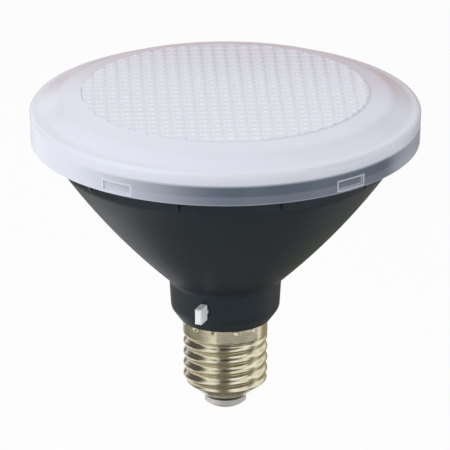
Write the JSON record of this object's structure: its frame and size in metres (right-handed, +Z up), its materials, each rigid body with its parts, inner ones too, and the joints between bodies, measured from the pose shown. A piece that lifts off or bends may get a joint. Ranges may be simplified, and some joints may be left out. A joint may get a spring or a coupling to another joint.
{
  "type": "par spotlight bulb",
  "caption": "Cone-shaped reflector spotlight bulb with a beaded milky lens cover, dark ribbed housing, side slide selector and screw cap.",
  "frame": {"origin": "tip of the centre contact, on the lamp's axis", "axes": "+Z up the lamp's axis from the contact to the lens; -Y is the front, the side the picture shows"},
  "size_m": [0.12, 0.12, 0.1042],
  "materials": {
    "lens_cover": "milky translucent, satin rim, beaded centre",
    "housing": "fine satin, charcoal",
    "screw_shell": "bright nickel plate, pale warm tint",
    "base_insulator": "black moulded insulator",
    "centre_contact": "worn tin plate",
    "heat_spreader": "pressed sheet",
    "light_board": "white solder resist on aluminium core",
    "light_chips": "phosphor",
    "board_screws": "zinc plate",
    "driver_board": "glass-filled laminate",
    "bulk_capacitor": "sleeved can",
    "output_capacitor": "sleeved can",
    "film_capacitor": "dipped",
    "transformer_bobbin": "moulded",
    "transformer_winding": "enamelled wire",
    "transformer_core": "ferrite",
    "bridge_rectifier": "moulded",
    "fuse_resistor": "lacquered",
    "driver_chip": "moulded",
    "switch_case": "tin plate",
    "selector_knob": "white satin",
    "live_lead": "insulated wire",
    "neutral_lead": "insulated wire",
    "output_leads": "insulated wire"
  },
  "bodies": {
    "lamp": {"lens_cover": "lens_cover", "housing": "housing", "screw_shell": "screw_shell", "base_insulator": "base_insulator", "centre_contact": "centre_contact", "heat_spreader": "heat_spreader", "light_board": "light_board", "light_chips": "light_chips", "board_screws": "board_screws", "driver_board": "driver_board", "bulk_capacitor": "bulk_capacitor", "output_capacitor": "output_capacitor", "film_capacitor": "film_capacitor", "transformer_bobbin": "transformer_bobbin", "transformer_winding": "transformer_winding", "transformer_core": "transformer_core", "bridge_rectifier": "bridge_rectifier", "fuse_resistor": "fuse_resistor", "driver_chip": "driver_chip", "switch_case": "switch_case", "live_lead": "live_lead", "neutral_lead": "neutral_lead", "output_leads": "output_leads"},
    "selector": {"selector_knob": "selector_knob"}
  },
  "joints": [
    {"name": "selector_slide", "type": "slide", "parent": "lamp", "child": "selector", "axis": [-0.9285, 0.3714, 0], "range_m": [0, 0.002]}
  ]
}
